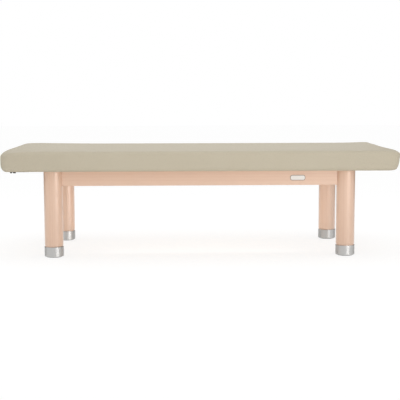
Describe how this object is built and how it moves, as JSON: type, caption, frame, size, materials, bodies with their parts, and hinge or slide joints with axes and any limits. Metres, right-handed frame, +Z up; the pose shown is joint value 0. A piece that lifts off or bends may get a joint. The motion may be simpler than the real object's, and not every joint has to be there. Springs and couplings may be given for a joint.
{
  "type": "thai massage table",
  "caption": "Low fixed-height massage table: padded vinyl top on a hardwood frame with round legs, screw-levelling metal feet and face-rest sockets.",
  "frame": {"origin": "on the floor, under the middle of the padded top", "axes": "+X along the table, away from the end with the face-rest sockets; +Y across it, away from the side with the plate; +Z up"},
  "size_m": [1.854, 0.813, 0.508],
  "materials": {
    "vinyl": "satin",
    "foam": "matte",
    "plywood": "matte",
    "maple": "satin",
    "steel": "satin",
    "aluminium": "satin",
    "enamel": "gloss",
    "black_plastic": "matte",
    "rubber": "matte"
  },
  "bodies": {
    "table": {"cover": "vinyl", "foam_top": "foam", "foam_base": "foam", "deck": "plywood", "staples": "steel", "front_apron": "maple", "back_apron": "maple", "left_apron": "maple", "right_apron": "maple", "cross_rail_left": "maple", "cross_rail_centre": "maple", "cross_rail_right": "maple", "corner_block_fl": "maple", "corner_block_fr": "maple", "corner_block_bl": "maple", "corner_block_br": "maple", "hanger_bolts": "steel", "hanger_washers": "steel", "hanger_nuts": "steel", "deck_brackets": "steel", "bracket_screws": "steel", "leg_fl": "maple", "leg_fr": "maple", "leg_bl": "maple", "leg_br": "maple", "leg_insert_fl": "steel", "leg_insert_fr": "steel", "leg_insert_bl": "steel", "leg_insert_br": "steel", "plate_frame": "aluminium", "plate_face": "enamel", "face_rest_socket_front": "black_plastic", "face_rest_socket_back": "black_plastic", "socket_saddles": "black_plastic", "socket_screws": "steel"},
    "glide_fl": {"foot_pad_fl": "rubber"},
    "glide_fr": {"foot_pad_fr": "rubber"},
    "glide_bl": {"foot_pad_bl": "rubber"},
    "glide_br": {"foot_pad_br": "rubber"},
    "foot_fl": {"foot_cap_fl": "aluminium", "foot_stud_fl": "steel"},
    "foot_fr": {"foot_cap_fr": "aluminium", "foot_stud_fr": "steel"},
    "foot_bl": {"foot_cap_bl": "aluminium", "foot_stud_bl": "steel"},
    "foot_br": {"foot_cap_br": "aluminium", "foot_stud_br": "steel"}
  },
  "joints": [
    {"name": "foot_fl_travel", "type": "slide", "parent": "table", "child": "glide_fl", "axis": [0, 0, -1], "range_m": [0, 0.01]},
    {"name": "foot_fr_travel", "type": "slide", "parent": "table", "child": "glide_fr", "axis": [0, 0, -1], "range_m": [0, 0.01]},
    {"name": "foot_bl_travel", "type": "slide", "parent": "table", "child": "glide_bl", "axis": [0, 0, -1], "range_m": [0, 0.01]},
    {"name": "foot_br_travel", "type": "slide", "parent": "table", "child": "glide_br", "axis": [0, 0, -1], "range_m": [0, 0.01]},
    {"name": "foot_fl_turn", "type": "hinge", "parent": "glide_fl", "child": "foot_fl", "pos_m": [-0.694, -0.2795, 0], "axis": [0, 0, -1], "range_deg": [0, 1800]},
    {"name": "foot_fr_turn", "type": "hinge", "parent": "glide_fr", "child": "foot_fr", "pos_m": [0.694, -0.2795, 0], "axis": [0, 0, -1], "range_deg": [0, 1800]},
    {"name": "foot_bl_turn", "type": "hinge", "parent": "glide_bl", "child": "foot_bl", "pos_m": [-0.694, 0.2795, 0], "axis": [0, 0, -1], "range_deg": [0, 1800]},
    {"name": "foot_br_turn", "type": "hinge", "parent": "glide_br", "child": "foot_br", "pos_m": [0.694, 0.2795, 0], "axis": [0, 0, -1], "range_deg": [0, 1800]}
  ],
  "couplings": [
    {"joint": "foot_fl_travel", "follows": "foot_fl_turn", "m_per_rad": 0.00031831},
    {"joint": "foot_fr_travel", "follows": "foot_fr_turn", "m_per_rad": 0.00031831},
    {"joint": "foot_bl_travel", "follows": "foot_bl_turn", "m_per_rad": 0.00031831},
    {"joint": "foot_br_travel", "follows": "foot_br_turn", "m_per_rad": 0.00031831}
  ]
}
